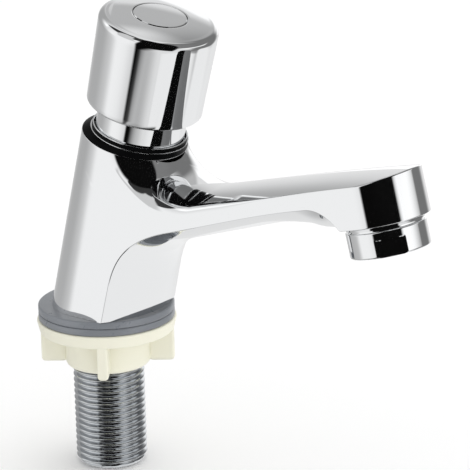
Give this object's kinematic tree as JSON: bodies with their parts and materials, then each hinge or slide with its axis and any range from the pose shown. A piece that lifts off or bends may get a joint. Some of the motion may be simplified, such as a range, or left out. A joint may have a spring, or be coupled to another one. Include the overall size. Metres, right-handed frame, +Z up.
{
  "type": "push timed tap",
  "caption": "Chromed self-closing push tap for one half inch supply, with press knob, slow-return cartridge, aerator, shank, rubber rings and back nut",
  "frame": {"origin": "on the shank axis at the deck, under the base gasket", "axes": "+Z up along the shank, +X towards the outlet, +Y to the left of the user's view along +X"},
  "size_m": [0.1381, 0.041, 0.1412],
  "materials": {
    "chrome_plate": "polished",
    "brass": "machined",
    "steel": "bright",
    "grey_rubber": "satin",
    "black_rubber": "matte",
    "cream_plastic": "satin",
    "white_plastic": "satin",
    "red_fibre": "matte"
  },
  "bodies": {
    "tap": {"tap_body": "chrome_plate", "base_gasket": "grey_rubber", "threaded_shank": "chrome_plate", "shank_seal": "red_fibre", "inlet_filter": "white_plastic", "cartridge_sleeve": "brass", "sleeve_o_ring": "black_rubber", "gland_collar": "chrome_plate", "gland_o_ring": "black_rubber", "spindle_seal": "black_rubber", "metering_pin": "steel", "spring_washer": "steel", "return_spring": "steel", "aerator_housing": "chrome_plate", "aerator_insert": "white_plastic", "aerator_mesh": "steel", "aerator_washer": "black_rubber", "rim_ring": "black_rubber"},
    "plunger": {"push_knob": "chrome_plate", "knob_disc": "chrome_plate", "knob_screw": "steel", "spindle": "steel", "piston": "white_plastic", "piston_lip_seal": "black_rubber", "valve_washer": "black_rubber", "washer_plate": "brass", "valve_nut": "brass"},
    "washer": {"deck_washer": "grey_rubber"},
    "nut": {"back_nut": "cream_plastic"}
  },
  "joints": [
    {"name": "knob_press", "type": "slide", "parent": "tap", "child": "plunger", "axis": [-0.2588, 0, -0.9659], "range_m": [0, 0.0045], "stiffness_N_per_m": 900, "springref_m": -0.012, "deforming": ["return_spring"]},
    {"name": "nut_travel", "type": "slide", "parent": "tap", "child": "washer", "axis": [0, 0, -1], "range_m": [0, 0.027]},
    {"name": "nut_turn", "type": "hinge", "parent": "washer", "child": "nut", "pos_m": [0, 0, -0.01], "axis": [0, 0, -1], "range_deg": [0, 5358.3]}
  ],
  "couplings": [
    {"joint": "nut_travel", "follows": "nut_turn", "m_per_rad": 0.00028871}
  ]
}
